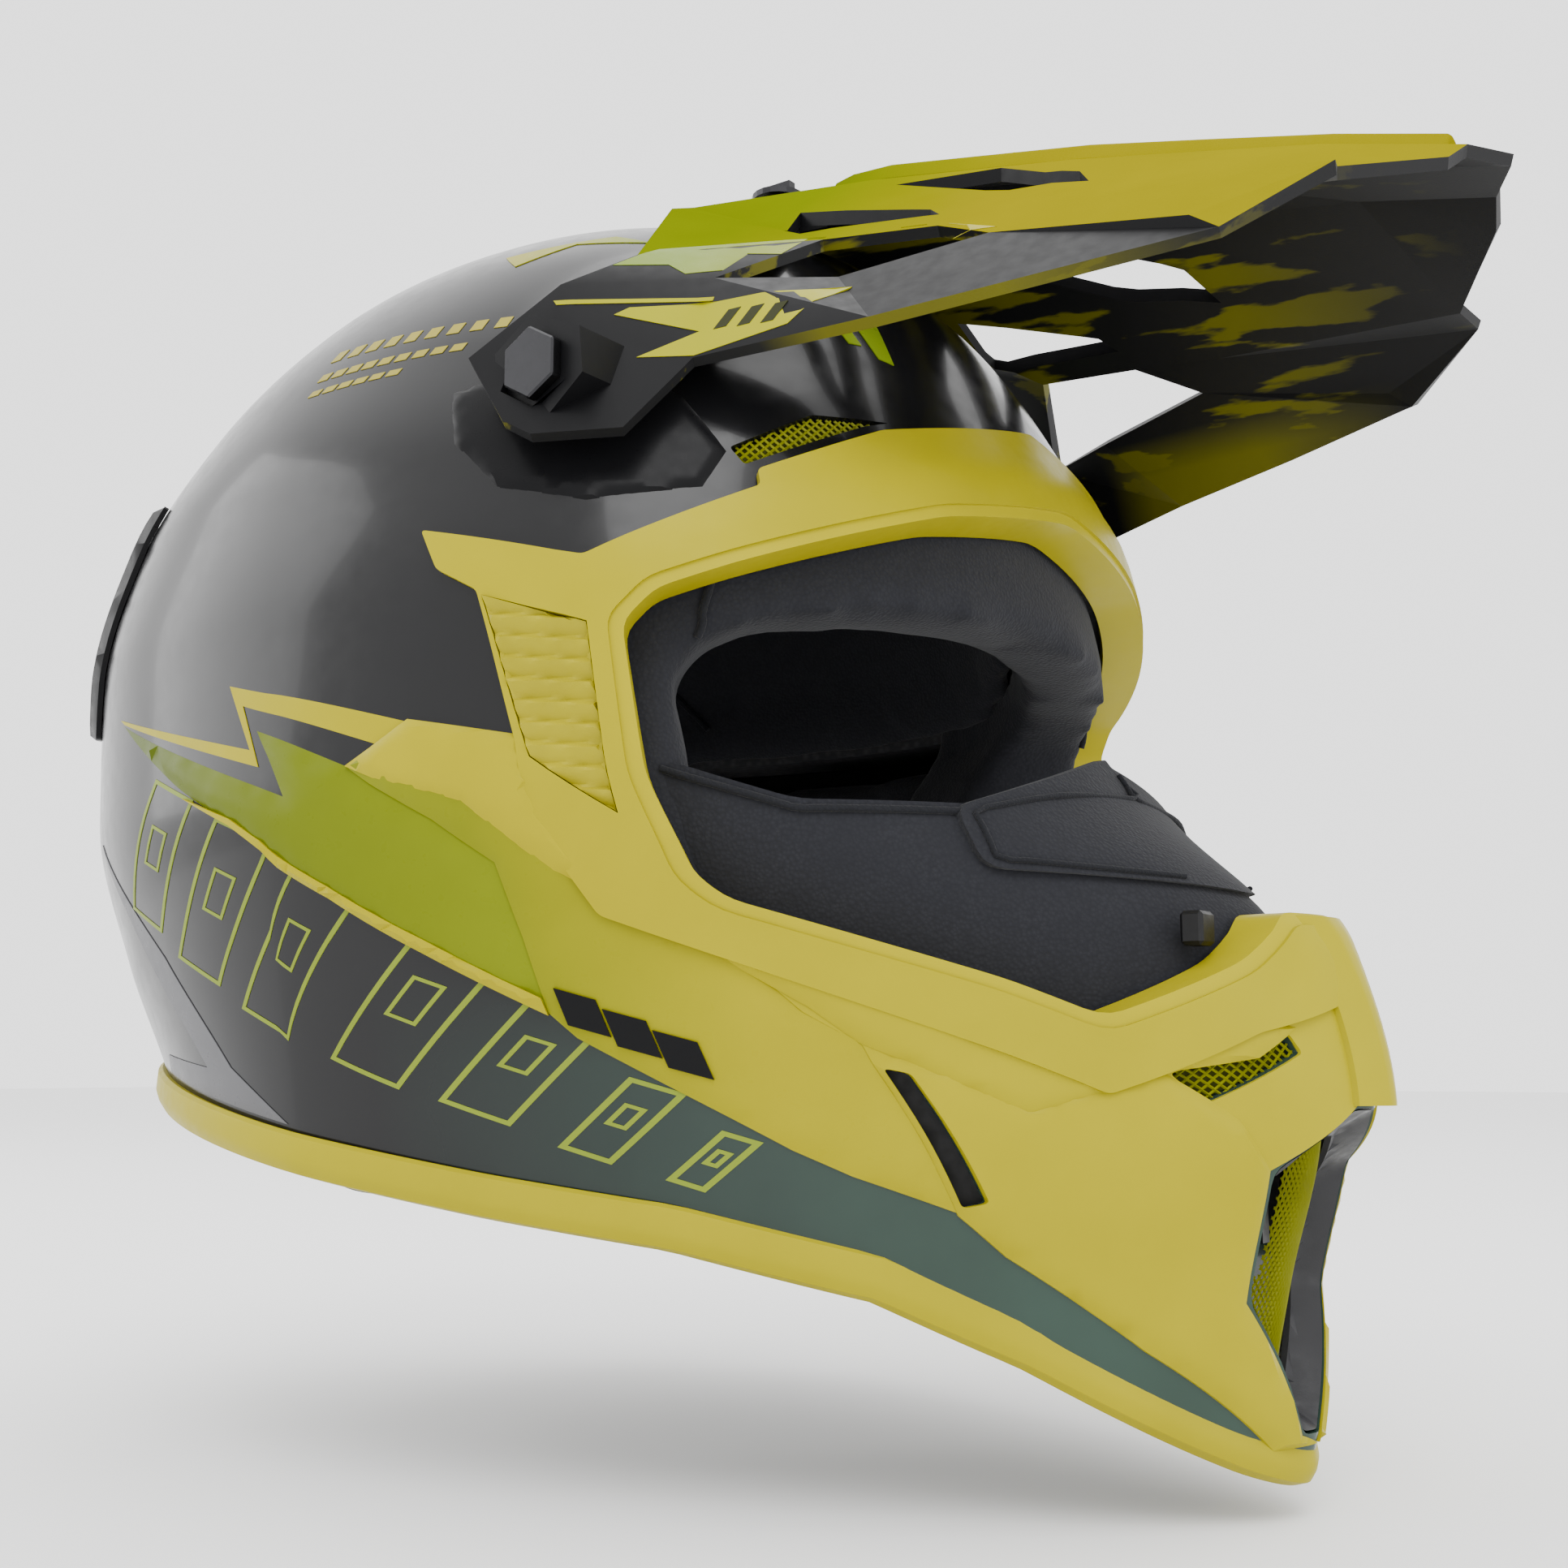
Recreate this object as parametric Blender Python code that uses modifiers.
"""Motocross helmet, built as an assembly of separate pieces.

Frame: metres, +X to the front, +Y to the wearer's left, +Z up, origin at the centre of the head.
The outer surface is one formula, surface(t, z, lift), and every panel, pad and trim is cut from it.
"""

import math

import bmesh
import bpy
import numpy as np
from mathutils import Matrix, Vector
from mathutils.geometry import delaunay_2d_cdt

MM = 0.001
GAP = 0.3
SHELL = 3.6
FOAM_OUT, FOAM_IN = -5.0, -27.0
LINER_IN = -35.0
TRIM_LIFT = 3.2
BEAD_RADIUS = 3.4
PEAK_SHEET = 2.6
BOSS_FACE, HUB_FACE = 106.4, 113.3
PIVOT = Vector((75.0, 0.0, 52.0))
THUMB_X = 55.0

# height, front x, rear x, widest x, half width, front exponent, rear exponent
SECTIONS = np.array([
    (-180, 186, -96, 8, 104, 1.45, 2.0),
    (-135, 196, -100, 8, 108, 1.45, 2.0),
    (-100, 204, -108, 8, 113, 1.45, 2.0),
    (-65, 196, -130, 8, 120, 1.55, 2.0),
    (-30, 160, -145, 8, 125, 2.0, 2.0),
    (5, 141, -147, 8, 125, 2.3, 2.0),
    (38, 135, -136, 6, 119, 2.2, 2.0),
    (66, 122, -116, 6, 106, 2.1, 2.0),
    (92, 104, -90, 7, 86, 2.1, 2.0),
    (112, 79, -60, 8, 60, 2.05, 2.0),
    (123, 48, -26, 10, 32, 2.0, 2.0),
    (126, 12, 8, 10, 2, 2.0, 2.0),
], float)
TOP = 126.0

# Outlines in the side view, (x, z) in mm
PORT = [(89, -2), (95, 6), (107, 12), (130, 28), (160, 37), (270, 40), (270, -62), (196, -62),
        (187, -72), (166, -84), (150, -76), (105, -60), (99, -54), (93, -34)]
BASE = [(-170, -84), (-100, -88), (-56, -95), (5, -106), (54, -114.5), (90, -120), (126, -129.5),
        (150, -142.5), (181, -164.5), (200, -176.5), (210, -178.5)]


def clear_scene():
    for obj in list(bpy.data.objects):
        bpy.data.objects.remove(obj)


def collection(name, hidden=False):
    made = bpy.data.collections.new(name)
    bpy.context.scene.collection.children.link(made)
    made.hide_render = hidden
    return made


clear_scene()
PARTS = collection("motocross_helmet")
CUTTERS = collection("cutters", hidden=True)


def paint(name, color, roughness=0.5, metallic=0.0):
    material = bpy.data.materials.new(name)
    material.use_nodes = True
    shader = material.node_tree.nodes["Principled BSDF"]
    shader.inputs["Base Color"].default_value = (*color, 1)
    shader.inputs["Roughness"].default_value = roughness
    shader.inputs["Metallic"].default_value = metallic
    return material


YELLOW = (0.75, 0.68, 0.01)
LIME = (0.33, 0.5, 0.03)
BLACK = (0.012, 0.012, 0.013)
CHARCOAL = (0.03, 0.032, 0.04)
OLIVE = (0.22, 0.26, 0.02)
GREY = (0.05, 0.05, 0.055)
STEEL = (0.6, 0.6, 0.62)
FOAM = (0.09, 0.09, 0.095)


# The outer surface

def slopes(heights, values):
    step = np.diff(heights)
    rise = np.diff(values) / step
    made = np.zeros_like(values)
    both = rise[:-1] * rise[1:]
    mean = 2 * both / np.where(both > 0, rise[:-1] + rise[1:], 1)
    made[1:-1] = np.where(both > 0, mean, 0)
    made[0], made[-1] = rise[0], rise[-1]
    return made


SLOPES = np.stack([slopes(SECTIONS[:, 0], SECTIONS[:, k]) for k in range(1, 7)], 1)


def section(z):
    """Front x, rear x, widest x, half width and the two exponents at this height."""
    heights = SECTIONS[:, 0]
    z = min(max(z, heights[0]), TOP)
    i = min(max(int(np.searchsorted(heights, z)) - 1, 0), len(heights) - 2)
    h = heights[i + 1] - heights[i]
    u = (z - heights[i]) / h
    a, b = SECTIONS[i, 1:], SECTIONS[i + 1, 1:]
    return (a * (1 + 2 * u) * (1 - u) ** 2 + SLOPES[i] * h * u * (1 - u) ** 2
            + b * u * u * (3 - 2 * u) + SLOPES[i + 1] * h * u * u * (u - 1))


LEVEL = section(0.0)


def surface(t, z, lift=0.0):
    """Point at angle t (0 front, pi rear, negative on the right) and height z, lifted outwards."""
    front, rear, mid, half, n_front, n_rear = section(z)
    ahead = math.cos(t) >= 0
    reach = front - mid if ahead else mid - rear
    n = n_front if ahead else n_rear
    if z > 0:
        level = LEVEL[0] - LEVEL[2] if ahead else LEVEL[2] - LEVEL[1]
        reach *= 1 + lift / level
        half *= 1 + lift / LEVEL[3]
        z *= 1 + lift / TOP
    else:
        reach += lift
        half += lift
    c, s = abs(math.cos(t)) ** (2 / n), abs(math.sin(t)) ** (2 / n)
    return Vector((mid + (c if ahead else -c) * reach, math.copysign(half * s, math.sin(t)), z))


def angle_at(x, z):
    """Angle t of the point of the surface at this x and height, on the left."""
    front, rear, mid, half, n_front, n_rear = section(z)
    ahead = x >= mid
    reach, n = (front - mid, n_front) if ahead else (mid - rear, n_rear)
    q = min(abs(x - mid) / reach, 1.0)
    t = math.acos(q ** (n / 2))
    return t if ahead else math.pi - t


def angle_across(y, z):
    """Angle t of the front point of the surface at this half width and height."""
    _, _, _, half, n_front, _ = section(z)
    return math.asin(min(abs(y) / half, 1.0) ** (n_front / 2))


# Mesh helpers

def add_object(name, mesh, where=None):
    obj = bpy.data.objects.new(name, mesh)
    (where or PARTS).objects.link(obj)
    return obj


def finish(name, bm, material, where=None, smooth=False):
    bmesh.ops.recalc_face_normals(bm, faces=bm.faces)
    for face in bm.faces:
        face.smooth = smooth
    mesh = bpy.data.meshes.new(name)
    bm.to_mesh(mesh)
    bm.free()
    if material:
        mesh.materials.append(material)
    return add_object(name, mesh, where)


def from_mm(points):
    return [Vector(p) * MM for p in points]


def loft(name, rings, material, where=None):
    """Skin over rings with the same number of points, closed at both ends."""
    bm = bmesh.new()
    rows = [[bm.verts.new(p) for p in from_mm(ring)] for ring in rings]
    count = len(rows[0])
    for low, high in zip(rows, rows[1:]):
        for i in range(count):
            j = (i + 1) % count
            bm.faces.new((low[i], low[j], high[j], high[i]))
    bm.faces.new(rows[0][::-1])
    bm.faces.new(rows[-1])
    return finish(name, bm, material, where)


def prism(name, outline, low, high, axis="y", material=None, where=None):
    """Solid of an outline drawn in the plane across the axis, between two depths."""
    def place(a, b, d):
        return {"y": (a, d, b), "x": (d, a, b), "z": (a, b, d)}[axis]
    rings = [[place(a, b, d) for a, b in outline] for d in (low, high)]
    return loft(name, rings, material, where)


def cutter(name, outline, low, high, axis="y"):
    obj = prism(name, outline, low, high, axis, None, CUTTERS)
    obj.display_type = "WIRE"
    obj.hide_render = True
    return obj


def boolean(obj, other, operation="DIFFERENCE"):
    modifier = obj.modifiers.new(other.name, "BOOLEAN")
    modifier.operation = operation
    modifier.solver = "EXACT"
    modifier.object = other
    return modifier


def bevel(obj, width):
    modifier = obj.modifiers.new("edges", "BEVEL")
    modifier.width = width * MM
    modifier.segments = 1
    modifier.limit_method = "ANGLE"
    modifier.angle_limit = math.radians(40)


def densify(outline, step):
    made = []
    for (a, b), (c, d) in zip(outline, outline[1:] + outline[:1]):
        count = max(1, round(math.hypot(c - a, d - b) / step))
        made += [(a + (c - a) * k / count, b + (d - b) * k / count) for k in range(count)]
    return made


def inside(point, outline):
    x, y = point
    odd = False
    for (a, b), (c, d) in zip(outline, outline[1:] + outline[:1]):
        if (b > y) != (d > y) and x < a + (y - b) * (c - a) / (d - b):
            odd = not odd
    return odd


RADIUS = 110.0


def mirrored(points):
    """Half outline whose first and last points lie on the centre plane, made whole."""
    return points + [(-a, b) for a, b in points[::-1] if abs(a) > 1e-6]


def skin(name, outline, top, under, material, holes=(), grid=14, side=1, where=None, smooth=False):
    """Panel of the surface inside an unrolled outline, between two lifts."""
    loops = [list(outline)] + [list(hole) for hole in holes]
    points = [p for loop in loops for p in loop]
    edges, start = [], 0
    for loop in loops:
        count = len(loop)
        edges += [(start + i, start + (i + 1) % count) for i in range(count)]
        start += count
    low = np.min(loops[0], axis=0)
    high = np.max(loops[0], axis=0)
    for a in np.arange(low[0] + grid / 2, high[0], grid):
        for b in np.arange(low[1] + grid / 2, high[1], grid):
            near = min(math.hypot(a - c, b - d) for c, d in points[:start])
            if near > grid * 0.45 and inside((a, b), loops[0]):
                if not any(inside((a, b), hole) for hole in loops[1:]):
                    points.append((a, b))
    found = delaunay_2d_cdt([Vector(p) for p in points], edges, [], 0, 1e-4)
    places, triangles = found[0], found[2]
    bm = bmesh.new()
    layers = []
    for lift in (top, under):
        layers.append([bm.verts.new(surface(side * p.x / RADIUS, p.y, lift) * MM) for p in places])
    kept = []
    for face in triangles:
        centre = sum((places[i] for i in face), Vector((0, 0))) / 3
        if inside(centre, loops[0]) and not any(inside(centre, hole) for hole in loops[1:]):
            kept.append(face)
    count = {}
    for face in kept:
        for i, j in zip(face, face[1:] + face[:1]):
            count[(i, j)] = count.get((i, j), 0) + 1
    for face in kept:
        bm.faces.new([layers[0][i] for i in face])
        bm.faces.new([layers[1][i] for i in face[::-1]])
    for i, j in count:
        if (j, i) not in count:
            bm.faces.new((layers[0][j], layers[0][i], layers[1][i], layers[1][j]))
    loose = [v for v in bm.verts if not v.link_faces]
    bmesh.ops.delete(bm, geom=loose, context="VERTS")
    return finish(name, bm, material, where, smooth)


def dome(name, outer, inner, bottom, material, around=48, rows=18):
    """Closed wall between two lifts of the whole surface, open at the bottom."""
    heights = [bottom + (TOP - bottom) * math.sin(math.pi / 2 * k / rows) ** 0.9
               for k in range(rows)] + [TOP - 0.4]
    angles = [-math.pi + 2 * math.pi * k / around for k in range(around)]
    bm = bmesh.new()
    rings = []
    for lift in (outer, inner):
        layer = [[bm.verts.new(surface(t, z, lift) * MM) for t in angles] for z in heights]
        for low, high in zip(layer, layer[1:]):
            for i in range(around):
                j = (i + 1) % around
                bm.faces.new((low[i], low[j], high[j], high[i]))
        bm.faces.new(layer[-1])
        rings.append(layer[0])
    for i in range(around):
        j = (i + 1) % around
        bm.faces.new((rings[0][i], rings[0][j], rings[1][j], rings[1][i]))
    return finish(name, bm, material, None, True)


def cylinder(name, centre, radius, depth, axis, material, count=20, where=None):
    bm = bmesh.new()
    bmesh.ops.create_cone(bm, cap_ends=True, segments=count, radius1=radius * MM,
                          radius2=radius * MM, depth=depth * MM)
    turn = Vector((0, 0, 1)).rotation_difference(Vector(axis)).to_matrix()
    bmesh.ops.rotate(bm, matrix=turn, verts=bm.verts)
    bmesh.ops.translate(bm, vec=Vector(centre) * MM, verts=bm.verts)
    return finish(name, bm, material, where)


def box(name, centre, size, material, where=None):
    bm = bmesh.new()
    bmesh.ops.create_cube(bm, size=1.0)
    bmesh.ops.scale(bm, vec=Vector(size) * MM, verts=bm.verts)
    bmesh.ops.translate(bm, vec=Vector(centre) * MM, verts=bm.verts)
    return finish(name, bm, material, where)


def turns_about(obj, point):
    """Puts the origin on the joint's axis and leaves the shape where it is."""
    obj.data.transform(Matrix.Translation(-Vector(point) * MM))
    obj.location = Vector(point) * MM


def hide(obj):
    CUTTERS.objects.link(obj)
    PARTS.objects.unlink(obj)
    obj.hide_render = True
    obj.display_type = "WIRE"
    return obj


def tube(name, points, radius, material, resolution=3):
    curve = bpy.data.curves.new(name, "CURVE")
    curve.dimensions = "3D"
    curve.bevel_depth = radius * MM
    curve.bevel_resolution = resolution
    curve.use_fill_caps = True
    spline = curve.splines.new("POLY")
    spline.points.add(len(points) - 1)
    for knot, p in zip(spline.points, from_mm(points)):
        knot.co = (*p, 1)
    spline.use_cyclic_u = True
    curve.materials.append(material)
    return add_object(name, curve)


def unrolled(points):
    """Side-view points as points of the unrolled surface (arc length, height)."""
    return [(angle_at(x, z) * RADIUS, z) for x, z in points]


def flat_loop(points, step=9, margin=0.0):
    return densify(inset(unrolled(points), margin), step)


def closed_loop(path, step=9, margin=0.0):
    """Loop across the centre plane from a path that starts and ends on it."""
    return densify(inset(mirrored(unrolled(path)), margin), step)


def inset(outline, distance):
    """Outline moved inwards by a distance, or outwards if it is negative."""
    area = sum(a * d - b * c for (a, b), (c, d) in zip(outline, outline[1:] + outline[:1]))
    turn = 1 if area > 0 else -1
    made = []
    for before, here, after in zip(outline[-1:] + outline[:-1], outline, outline[1:] + outline[:1]):
        one = Vector((here[0] - before[0], here[1] - before[1])).normalized()
        two = Vector((after[0] - here[0], after[1] - here[1])).normalized()
        normal = Vector((-one.y - two.y, one.x + two.x)) * turn
        normal.normalize()
        reach = distance / max(0.45, normal.dot(Vector((-one.y, one.x))) * turn)
        made.append((here[0] + normal.x * reach, here[1] + normal.y * reach))
    return made


def scaled(outline, factor):
    middle = np.mean(outline, axis=0)
    return [tuple(middle + (np.array(p) - middle) * factor) for p in outline]


# Outlines on the surface. A path starts and ends on the centre plane, where x is past the front.
AHEAD = 300
PORT_PATH = [(AHEAD, 36), (130, 28), (107, 12), (95, 6), (89, -2), (93, -34), (99, -54), (105, -60),
             (150, -76), (166, -84), (187, -72), (191, -62), (AHEAD, -62)]
TRIM_PATH = [(AHEAD, 57), (127, 50), (121, 44), (108, 31), (109, 27), (84, 11), (50, 19), (55, 10),
             (64, 5), (72, -26), (74, -42), (84, -61), (104, -69), (150, -88), (166, -96),
             (188, -84), (AHEAD, -75)]
GRIP = [(65, 3), (84, -4), (88, -38), (74, -28)]
BROW_VENT = [(103, 37), (112, 47), (121, 48), (119, 46), (106, 33)]
NOSE_VENT = [(176, -92), (193, -84), (195, -88), (181, -98)]
CHIN_SLOT = [(130.5, -91), (135, -92), (146, -117), (141.5, -118)]
EXHAUST = [(-62, 49), (-80, 46), (-107, 10), (-110, -4), (-94, -7), (-86, 8)]
OPEN_FRONT = [(88, -220), (84, 3), (95, 11), (107, 17), (130, 33), (150, 40), (270, 42), (270, -220)]
OPEN_SIDE = [(-44, -220), (-44, 4), (110, 4), (110, -220)]
CHEEK = [(-36, -24), (-14, -4), (40, -3), (86, -3), (90, -34), (96, -55), (97, -80), (88, -98),
         (50, -99), (4, -97), (-32, -84)]
CHIN_FOAM = [(106, -76), (150, -94), (174, -104), (174, -128), (150, -132), (106, -119)]
BROW_PAD = [(AHEAD, 33), (130, 25), (107, 9), (98, 4), (93, -1), (98, -1), (125, 0), (AHEAD, 12)]
DEFLECTOR = [(AHEAD, -26), (150, -30), (128, -42), (112, -56), (108, -66), (150, -86), (168, -90),
             (AHEAD, -80)]


def mouth_outline():
    half = [(6, -99), (21, -111), (20, -137), (4.5, -164)]
    return mirrored([(angle_across(y, z) * RADIUS, z) for y, z in half])


def shell_and_trim():
    shell = dome("outer_shell", 0, -SHELL, -179, paint("shell_black", BLACK, 0.15), rows=20)
    port = closed_loop(PORT_PATH)
    boolean(shell, cutter("base_cut", BASE + [(240, -260), (-220, -260)], -180, 180))
    boolean(shell, hide(skin("port_cut", closed_loop(PORT_PATH, 7), 10, -10, None, grid=11)))
    mouth = hide(skin("mouth_cut", mouth_outline(), 9, -9, None, grid=10))
    boolean(shell, mouth)
    vents = {"brow": BROW_VENT, "nose": NOSE_VENT, "chin_slot": CHIN_SLOT}
    for name, outline in vents.items():
        for side, word in ((-1, "right"), (1, "left")):
            hole = flat_loop(outline)
            boolean(shell, hide(skin(f"{name}_cut_{word}", hole, 7, -7, None, side=side)))
    for side, word in ((-1, "right"), (1, "left")):
        boolean(shell, hide(cylinder(f"pivot_cut_{word}", (PIVOT.x, side * 96, PIVOT.z), 5.2, 40,
                                     (0, 1, 0), None)))
    boolean(shell, hide(cylinder("thumb_cut", (THUMB_X, 0, 120), 4.2, 30, (0, 0, 1), None)))
    yellow = paint("trim_yellow", YELLOW, 0.3)
    grips = [flat_loop(GRIP, margin=-0.5)]
    grips.append([(-a, b) for a, b in grips[0]])
    skin("eye_port_trim", closed_loop(TRIM_PATH), TRIM_LIFT, 0.8, yellow, holes=[port] + grips)
    skin("eye_port_lip", closed_loop(PORT_PATH, margin=0.5), 1.6, -8, paint("lip_yellow", YELLOW, 0.4),
         holes=[closed_loop(PORT_PATH, margin=2.6)])
    rubber = paint("grip_rubber", YELLOW, 0.6)
    for side, word in ((-1, "right"), (1, "left")):
        skin(f"goggle_strap_grip_{word}", flat_loop(GRIP), 2.7, 0.8, rubber, side=side)


def base_bead():
    points = []
    xs, zs = [p[0] for p in BASE], [p[1] for p in BASE]
    for k in range(72):
        t = -math.pi + 2 * math.pi * (k + 0.5) / 72
        z = -110.0
        for _ in range(12):
            z = 0.5 * z + 0.5 * float(np.interp(surface(t, z, -SHELL / 2).x, xs, zs))
        here = surface(t, z, -SHELL / 2)
        slope = (np.interp(here.x + 4, xs, zs) - np.interp(here.x - 4, xs, zs)) / 8
        drop = Vector((slope, 0, -1)).normalized() * (BEAD_RADIUS + 0.5)
        points.append(here + drop)
    tube("base_edge_bead", points, BEAD_RADIUS, paint("bead_yellow", YELLOW, 0.35))


def vents_and_mouth():
    olive = paint("mesh_olive", OLIVE, 0.5)
    dark = paint("vent_grey", GREY, 0.5)
    for side, word in ((-1, "right"), (1, "left")):
        skin(f"brow_vent_mesh_{word}", flat_loop(BROW_VENT, margin=0.4), -0.8, -2.2, olive, side=side)
        skin(f"nose_vent_mesh_{word}", flat_loop(NOSE_VENT, margin=0.4), -0.8, -2.2, olive, side=side)
        skin(f"chin_slot_insert_{word}", flat_loop(CHIN_SLOT, margin=0.4), -0.8, -3.0,
             paint(f"slot_black_{word}", BLACK, 0.6), side=side)
        skin(f"rear_exhaust_cover_{word}", flat_loop(EXHAUST, 7), 3.4, 1.0,
             paint(f"exhaust_black_{word}", BLACK, 0.3), side=side, grid=10)
    outline = mouth_outline()
    skin("mouth_vent_frame", scaled(outline, 0.965), -1.2, -10, dark, grid=10,
         holes=[scaled(outline, 0.76)])
    mesh = skin("mouth_vent_mesh", scaled(outline, 0.95), -11.2, -12.7, olive, grid=10)
    boolean(mesh, hide(box("shutter_slot", (178, -11, -118), (40, 6, 30), None)))
    shutter = box("mouth_vent_shutter", (164, 0, -124), (2, 30, 26), paint("shutter", BLACK, 0.5))
    handle = hide(box("shutter_handle", (174, -11, -121), (21, 3.6, 10), None))
    boolean(shutter, handle, "UNION")
    turns_about(shutter, (164, 0, -124))
    skin("breath_deflector", closed_loop(DEFLECTOR), -10.5, -13, paint("deflector", CHARCOAL, 0.8))
    for side, word in ((-1, "right"), (1, "left")):
        where = surface(side * angle_across(28, -63), -63, -6)
        clip = box(f"deflector_clip_{word}", where + Vector((1.5, 0, 0)), (5, 7, 7),
                   paint(f"clip_{word}", BLACK, 0.4))
        bevel(clip, 0.8)


def inner_pieces():
    foam = paint("foam_grey", FOAM, 0.9)
    fabric = paint("fabric_charcoal", CHARCOAL, 0.95)
    front = cutter("front_cut", OPEN_FRONT, -180, 180)
    sides = cutter("side_cut", OPEN_SIDE, -180, 180)
    crown = dome("crown_foam", FOAM_OUT, FOAM_IN, -68, foam, rows=14)
    liner = dome("comfort_liner", FOAM_IN - 1.2, LINER_IN, -20, fabric, rows=10, around=32)
    pocket = hide(skin("brow_pocket", closed_loop(BROW_PAD, 12, -3.5), 2, -45, None, grid=18))
    for obj in (crown, liner):
        boolean(obj, pocket)
        boolean(obj, front)
        boolean(obj, sides)
    for side, word in ((-1, "right"), (1, "left")):
        skin(f"chin_foam_{word}", flat_loop(CHIN_FOAM), -4.8, -19, foam, side=side)
        skin(f"cheek_pad_{word}", flat_loop(CHEEK, 12), -12.5, -34, fabric, side=side, grid=18)
    skin("brow_pad", closed_loop(BROW_PAD, 12), -10, -30, fabric, grid=18)
    rear = math.pi * RADIUS
    roll = [(rear - 120, -72), (rear + 120, -72), (rear + 118, -87), (rear - 118, -87)]
    skin("neck_roll", densify(roll, 14), -5, -24, fabric, grid=18)


def crown_spine():
    stations = [surface(0.0, z, 0) for z in (124.4, 125.6)] + [Vector((10, 0, TOP))]
    stations += [surface(math.pi, z, 0) for z in (125.4, 123, 117, 108, 97, 83, 67, 50)]
    rings = []
    for i, p in enumerate(stations):
        ahead = stations[min(i + 1, len(stations) - 1)] - stations[max(i - 1, 0)]
        normal = Vector((ahead.z, 0, -ahead.x)).normalized()
        if normal.z < 0 and normal.x > 0:
            normal = -normal
        width = 6.0 * min(1.0, 0.35 + 0.3 * i, 0.35 + 0.25 * (len(stations) - 1 - i))
        low, high = p + normal * 1.2, p + normal * 3.6
        rings.append([low + Vector((0, -width, 0)), low + Vector((0, width, 0)),
                      high + Vector((0, width * 0.5, 0)), high + Vector((0, -width * 0.5, 0))])
    loft("crown_spine", rings, paint("spine_black", BLACK, 0.3))


# The peak, left half. Each name is a corner of the folded sheet.
PEAK = {
    "c0": (34, 0, 135), "c1": (98, 0, 130), "c2": (150, 0, 120), "c3": (206, 0, 106), "t": (242, 0, 96),
    "s0": (46, 25, 128), "s1": (98, 22, 122), "s2": (150, 18, 114), "s3": (206, 14, 103),
    "e": (236, 12, 95), "d": (234, 19, 90), "n": (219, 42, 83),
    "v": (64, 56, 111), "k0": (77, 84, 86), "k1": (106, 54, 93), "k2": (134, 51, 90), "k3": (157, 51, 88),
    "b": (221, 49, 81), "m": (150, 57, 82), "w": (196, 61, 72), "a": (202, 61, 68),
    "u0": (70, 101, 75), "u1": (96, 81, 77), "u2": (118, 66, 77),
    "r0": (57, 115, 57), "r1": (70, 118, 40), "r2": (77, 117, 36), "r3": (93, 107, 37),
    "l0": (99, 92, 55), "l1": (134, 79, 60), "l2": (168, 70, 64),
}
PEAK_FACES = [
    "c0 c1 s1 s0", "c1 c2 s2 s1", "c2 c3 s3 s2", "c3 t e s3", "s0 s1 k1 v", "v k1 k0", "s1 s2 k2 k1",
    "s2 k3 k2", "s2 s3 n k3", "s3 e d n", "k3 n b w m", "k2 k3 m", "w b a", "m w a l2",
    "u2 m l2 l1", "u1 u2 l1 l0", "u0 u1 l0 r3 r2 r1 r0", "k0 k1 u1 u0",
]


def peak():
    bm = bmesh.new()
    corners = {}
    for name, (x, y, z) in PEAK.items():
        for side in (1, -1):
            if y or side > 0:
                corners[name, side] = bm.verts.new(Vector((x, side * y, z)) * MM)
            else:
                corners[name, side] = corners[name, 1]
    for face in PEAK_FACES:
        first, *rest = face.split()
        for second, third in zip(rest, rest[1:]):
            names = (first, second, third)
            bm.faces.new([corners[name, 1] for name in names])
            bm.faces.new([corners[name, -1] for name in names[::-1]])
    obj = finish("peak_body", bm, paint("peak_black", BLACK, 0.35))
    if sum(p.normal.z * p.area for p in obj.data.polygons) < 0:
        obj.data.flip_normals()
    solid = obj.modifiers.new("sheet", "SOLIDIFY")
    solid.thickness = PEAK_SHEET * MM
    solid.offset = -1
    solid.use_even_offset = True
    inner = [(108, 26), (133, 20), (157, 28), (163, 36), (136, 33)]
    outer = [(88, 37), (127, 42), (131, 45), (106, 48), (92, 50)]
    for side, word in ((-1, "right"), (1, "left")):
        for what, radius, low, high in (("hub", 11.5, 97, HUB_FACE), ("pocket", 9.1, 70, BOSS_FACE + 0.4),
                                        ("counterbore", 8.8, HUB_FACE, 130)):
            centre = (PIVOT.x, side * (low + high) / 2, PIVOT.z)
            made = hide(cylinder(f"{what}_{word}", centre, radius, high - low, (0, 1, 0), None, 22))
            boolean(obj, made, "UNION" if what == "hub" else "DIFFERENCE")
        boolean(obj, hide(cylinder(f"hub_bore_{word}", (PIVOT.x, side * 109, PIVOT.z), 5.0, 30,
                                   (0, 1, 0), None)))
        for name, outline in (("inner", inner), ("outer", outer)):
            points = [(x, side * y) for x, y in outline]
            boolean(obj, cutter(f"peak_{name}_{word}", points, 60, 160, "z"))
    boolean(obj, hide(dome("peak_clearance", 1.8, -40, -60, None, rows=14)))
    slot = [(THUMB_X - 10, -4.4), (THUMB_X + 13, -4.4), (THUMB_X + 13, 4.4), (THUMB_X - 10, 4.4)]
    boolean(obj, cutter("thumb_slot", slot, 100, 170, "z"))
    turns_about(obj, PIVOT)


def roof(x, y):
    """Height of the roof of the peak at a point between the centre line and its upper edge."""
    rail = [PEAK[name] for name in ("c0", "c1", "c2", "c3", "t")]
    edge = [PEAK[name] for name in ("s0", "s1", "s2", "s3", "e")]
    middle = np.interp(x, [p[0] for p in rail], [p[2] for p in rail])
    side = np.interp(x, [p[0] for p in edge], [p[2] for p in edge])
    reach = np.interp(x, [p[0] for p in edge], [p[1] for p in edge])
    return float(middle + (side - middle) * abs(y) / reach)


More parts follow.
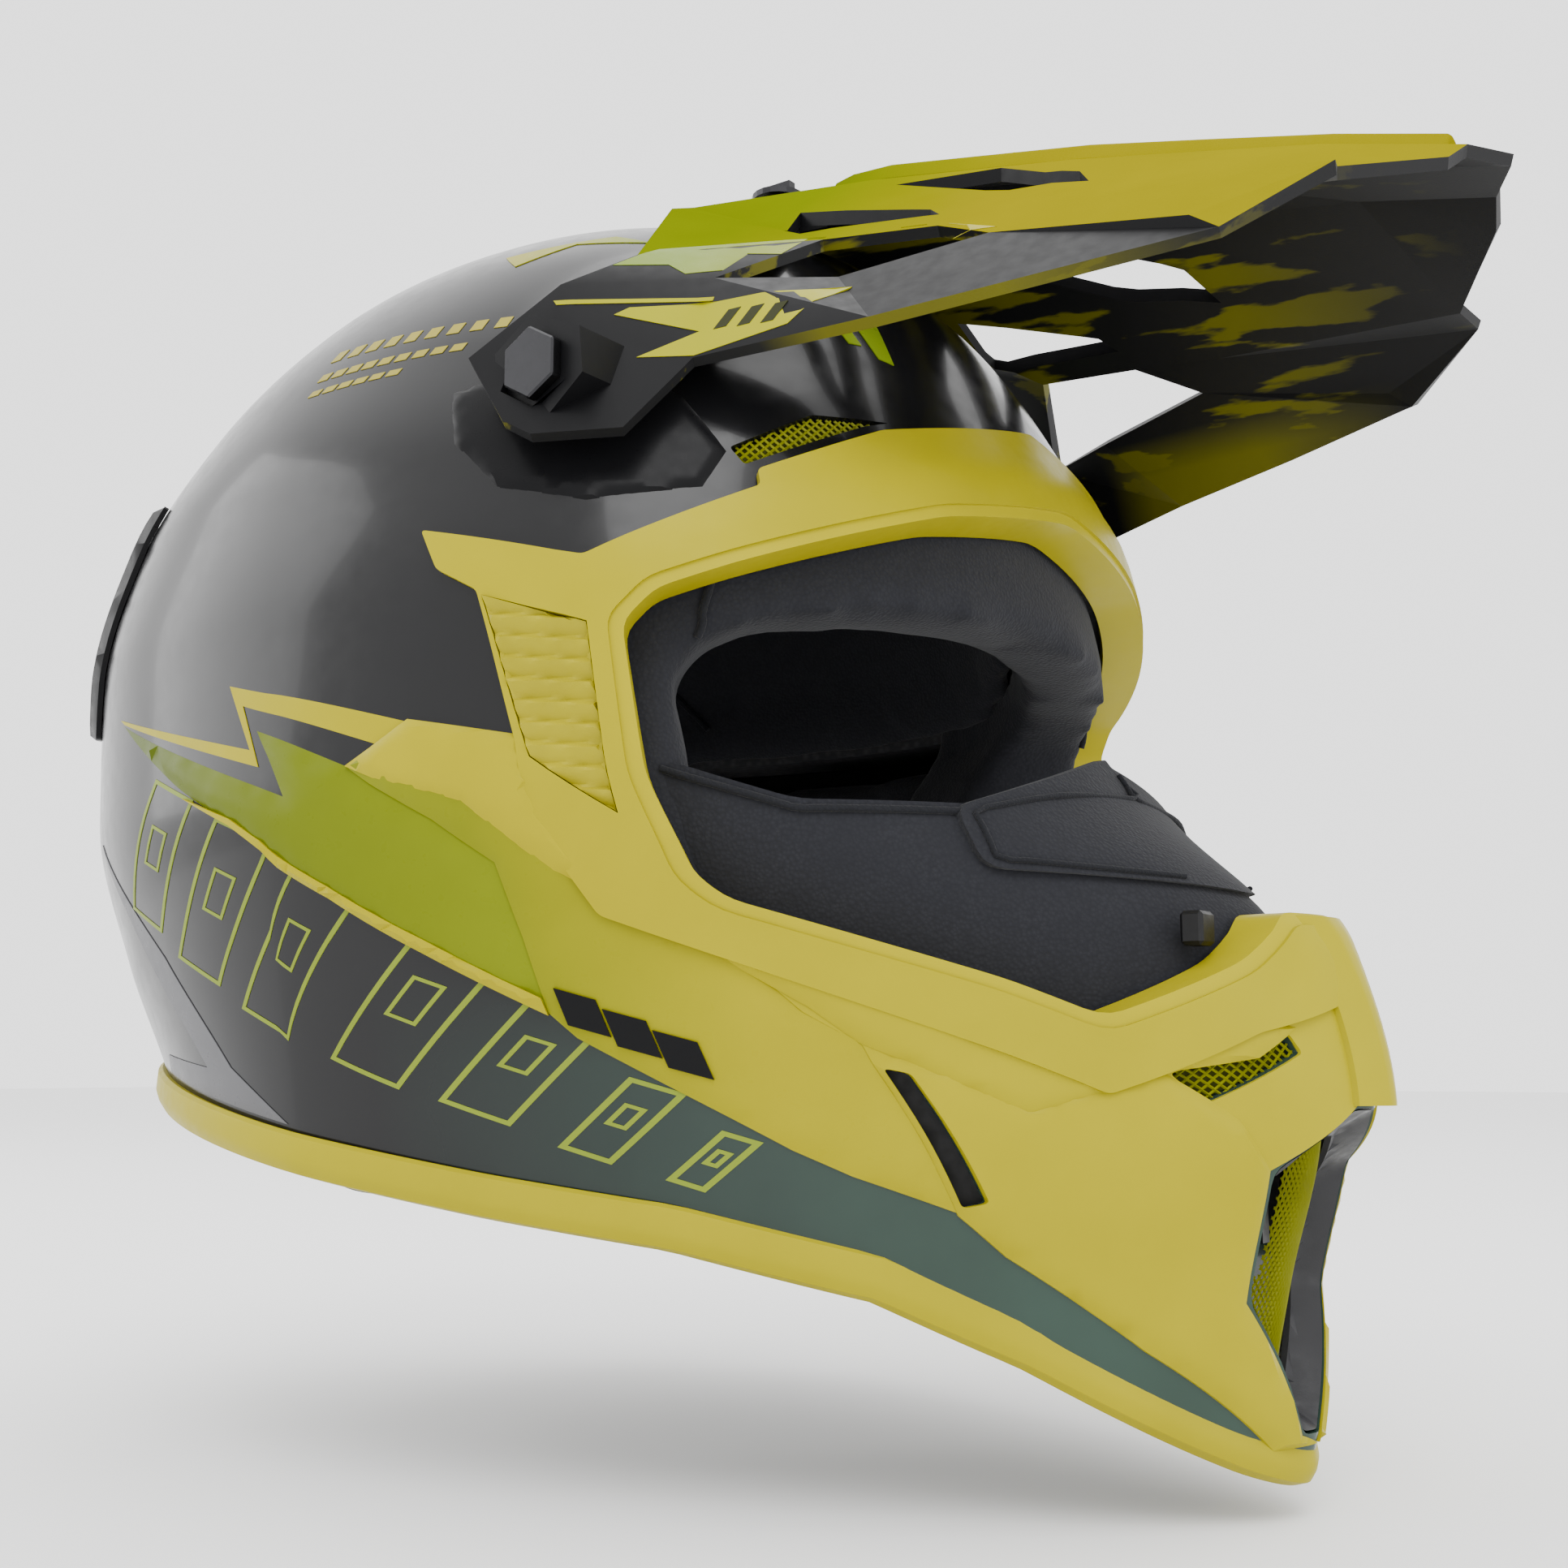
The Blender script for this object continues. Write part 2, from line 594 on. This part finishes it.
def spine_cap():
    rings = []
    for x, width in ((75, 5), (85, 12), (98, 15), (124, 13), (150, 11), (178, 9), (206, 7), (230, 5)):
        low = [(x, y, roof(x, y) + 0.9) for y in (-width, 0, width)]
        high = [(x, y, roof(x, y) + 4.4) for y in (width - 2.5, 0, 2.5 - width)]
        rings.append(low + high)
    cap = loft("peak_spine_cap", rings, paint("cap_lime", LIME, 0.35))
    bevel(cap, 0.8)
    turns_about(cap, PIVOT)


def fasteners():
    steel = paint("screw_black", BLACK, 0.35, 0.4)
    solid = hide(dome("body_cut", 0.8, -40, -60, None, around=48, rows=14))
    for side, word in ((-1, "right"), (1, "left")):
        x, z = PIVOT.x, PIVOT.z
        boss = cylinder(f"peak_boss_{word}", (x, side * 97, z), 8.5, 18.8, (0, 1, 0), steel)
        boolean(boss, hide(cylinder(f"boss_bore_{word}", (x, side * 90, z), 5.0, 40, (0, 1, 0), None)))
        boolean(boss, solid)
        screw = cylinder(f"side_screw_{word}", (x, side * 114.7, z), 7.8, 2.8, (0, 1, 0), steel, 6)
        bevel(screw, 0.4)
        shank = hide(cylinder(f"side_shank_{word}", (x, side * 104.4, z), 4.5, 20, (0, 1, 0), None))
        boolean(screw, shank, "UNION")
        turns_about(screw, (x, side * 114.7, z))
    thumb_boss = cylinder("thumb_screw_boss", (THUMB_X, 0, 121.5), 7.5, 9, (0, 0, 1), steel)
    boolean(thumb_boss, hide(cylinder("thumb_bore", (THUMB_X, 0, 124), 3.6, 30, (0, 0, 1), None)))
    boolean(thumb_boss, solid)
    screw = cylinder("thumb_screw", (THUMB_X, 0, 137.2), 7.0, 1.6, (0, 0, 1), steel)
    boolean(screw, hide(cylinder("thumb_shank", (THUMB_X, 0, 128.5), 3.0, 18, (0, 0, 1), None)), "UNION")
    boolean(screw, hide(box("thumb_wing", (THUMB_X, 0, 139.4), (9, 2.6, 3.6), None)), "UNION")
    turns_about(screw, (THUMB_X, 0, 137.2))


def band(name, path, width, thick, material, x=10):
    """Webbing that follows a path in the plane across x."""
    rings = []
    for i, (y, z) in enumerate(path):
        a, b = path[max(i - 1, 0)], path[min(i + 1, len(path) - 1)]
        along = Vector((b[0] - a[0], b[1] - a[1])).normalized() * thick / 2
        one, two = (y - along.y, z + along.x), (y + along.y, z - along.x)
        rings.append([(x - width / 2, *one), (x + width / 2, *one), (x + width / 2, *two),
                      (x - width / 2, *two)])
    return loft(name, rings, material)


def straps():
    webbing = paint("webbing", BLACK, 0.9)
    steel = paint("ring_steel", STEEL, 0.25, 1.0)
    down = [(-surface(math.pi / 2, z, -6.8).y, z) for z in (-58, -70, -82, -94)]
    under = [(-103.4, -101), (-99, -110), (-90, -117), (-70, -120), (-50, -121)]
    curl = [(-31 + 4.2 * math.cos(a), -118.6 + 4.2 * math.sin(a))
            for a in np.linspace(-1.9, 2.4, 9)]
    band("chin_strap_right", down + under + [(-38, -122)] + curl, 20, 1.6, webbing)
    left = [(-y, z) for y, z in down + under] + [(20, -121.5), (2, -121.5)]
    band("chin_strap_left", left, 20, 1.6, webbing)
    for obj in (bpy.data.objects["chin_strap_right"], bpy.data.objects["chin_strap_left"]):
        side = -1 if "right" in obj.name else 1
        word = obj.name.split("_")[-1]
        y = side * abs(down[0][0])
        boolean(obj, hide(cylinder(f"rivet_hole_{word}", (10, y, -65), 4.0, 20, (0, 1, 0), None)))
        cylinder(f"strap_rivet_{word}", (10, y - side * 1.2, -65), 3.6, 4.4, (0, 1, 0), steel)
    for name, y, tilt in (("d_ring_outer", -32.6, 1.2), ("d_ring_inner", -29.4, -0.25)):
        shape = [(-12, 0), (12, 0), (12, 5), (9, 11), (4, 14), (-4, 14), (-9, 11), (-12, 5)]
        points = [(10 + a, y + b * math.cos(tilt), -118.6 + b * math.sin(tilt)) for a, b in shape]
        turns_about(tube(name, points, 1.2, steel, resolution=1), (10, y, -118.6))
    cylinder("strap_snap_cap", (10, 14, -123.6), 6, 2.2, (0, 0, 1), webbing)
    cylinder("strap_snap_socket", (10, 14, -119.4), 6, 2.2, (0, 0, 1), steel)


def build():
    shell_and_trim()
    base_bead()
    vents_and_mouth()
    inner_pieces()
    crown_spine()
    peak()
    spine_cap()
    fasteners()
    straps()


build()
